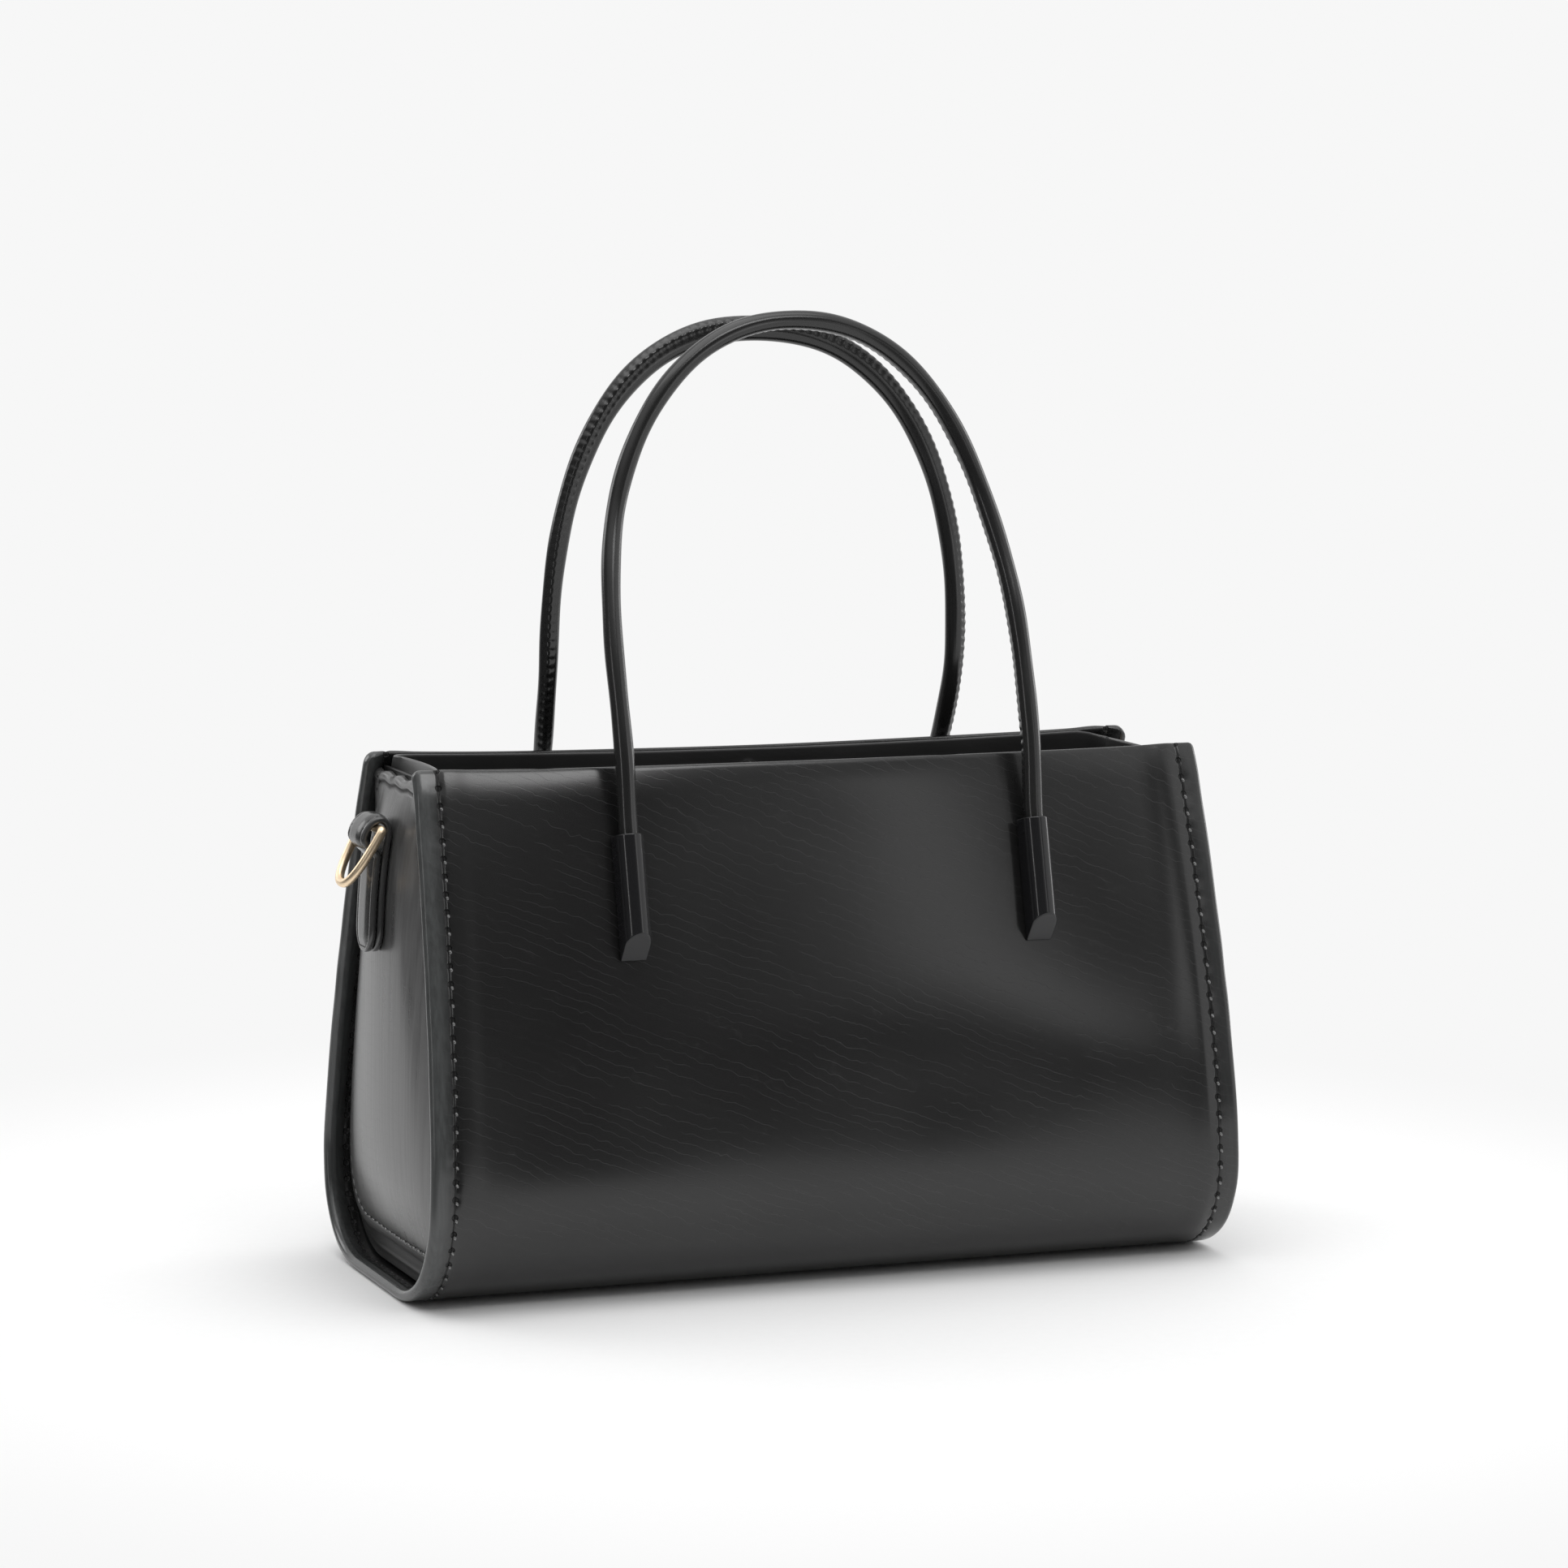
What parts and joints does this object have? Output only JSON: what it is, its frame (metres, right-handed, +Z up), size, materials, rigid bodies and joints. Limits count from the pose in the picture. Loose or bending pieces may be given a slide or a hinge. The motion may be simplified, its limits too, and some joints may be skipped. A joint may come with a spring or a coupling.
{
  "type": "tote bag",
  "caption": "Structured leather tote bag with an open top, rolled cord handles in D-shaped metal ends, inset end gussets and side tabs carrying D-rings.",
  "frame": {"origin": "centre of the base on the floor, at the bottom centre of the overall box", "axes": "+X along the bag's width to its right side, +Y from the front panel to the back panel, +Z up"},
  "size_m": [0.3066, 0.1206, 0.3139],
  "materials": {
    "black_leather": "smooth, semi-gloss",
    "gusset_leather": "smooth, satin",
    "lining_cloth": "matt woven",
    "stiffener_board": "matt",
    "cotton_cord": "matt twisted",
    "black_metal": "gloss black",
    "pale_gold": "polished pale gold plating",
    "bright_steel": "satin"
  },
  "bodies": {
    "body": {"outer_wrap": "black_leather", "left_piping": "black_leather", "right_piping": "black_leather", "left_gusset": "gusset_leather", "right_gusset": "gusset_leather", "left_gusset_backing": "black_leather", "right_gusset_backing": "black_leather", "mouth_facing": "black_leather", "lining": "lining_cloth", "front_board": "stiffener_board", "back_board": "stiffener_board", "base_board": "stiffener_board", "snap_stud": "bright_steel", "snap_socket": "bright_steel", "left_ring_tab": "black_leather", "right_ring_tab": "black_leather", "front_left_end": "black_metal", "front_right_end": "black_metal", "back_left_end": "black_metal", "back_right_end": "black_metal", "front_left_cord_end": "black_leather", "front_right_cord_end": "black_leather", "back_left_cord_end": "black_leather", "back_right_cord_end": "black_leather", "front_left_plate": "bright_steel", "front_right_plate": "bright_steel", "back_left_plate": "bright_steel", "back_right_plate": "bright_steel", "front_left_upper_screw": "bright_steel", "front_left_lower_screw": "bright_steel", "front_right_upper_screw": "bright_steel", "front_right_lower_screw": "bright_steel", "back_left_upper_screw": "bright_steel", "back_left_lower_screw": "bright_steel", "back_right_upper_screw": "bright_steel", "back_right_lower_screw": "bright_steel"},
    "front_handle": {"front_handle_cover": "black_leather", "front_handle_core": "cotton_cord"},
    "back_handle": {"back_handle_cover": "black_leather", "back_handle_core": "cotton_cord"},
    "left_d_ring": {"left_ring": "pale_gold"},
    "right_d_ring": {"right_ring": "pale_gold"}
  },
  "joints": [
    {"name": "front_handle_swing", "type": "hinge", "parent": "body", "child": "front_handle", "pos_m": [0, -0.04317, 0.15302], "axis": [1, 0, 0], "range_deg": [-6, 85], "stiffness_Nm_per_rad": 0.1},
    {"name": "back_handle_swing", "type": "hinge", "parent": "body", "child": "back_handle", "pos_m": [0, 0.04317, 0.15302], "axis": [-1, 0, 0], "range_deg": [-1, 85], "stiffness_Nm_per_rad": 0.1},
    {"name": "left_ring_swing", "type": "hinge", "parent": "body", "child": "left_d_ring", "pos_m": [-0.14165, 0, 0.1493], "axis": [0, 1, 0], "range_deg": [-14, 110]},
    {"name": "right_ring_swing", "type": "hinge", "parent": "body", "child": "right_d_ring", "pos_m": [0.14165, 0, 0.1493], "axis": [0, -1, 0], "range_deg": [-14, 110]}
  ]
}
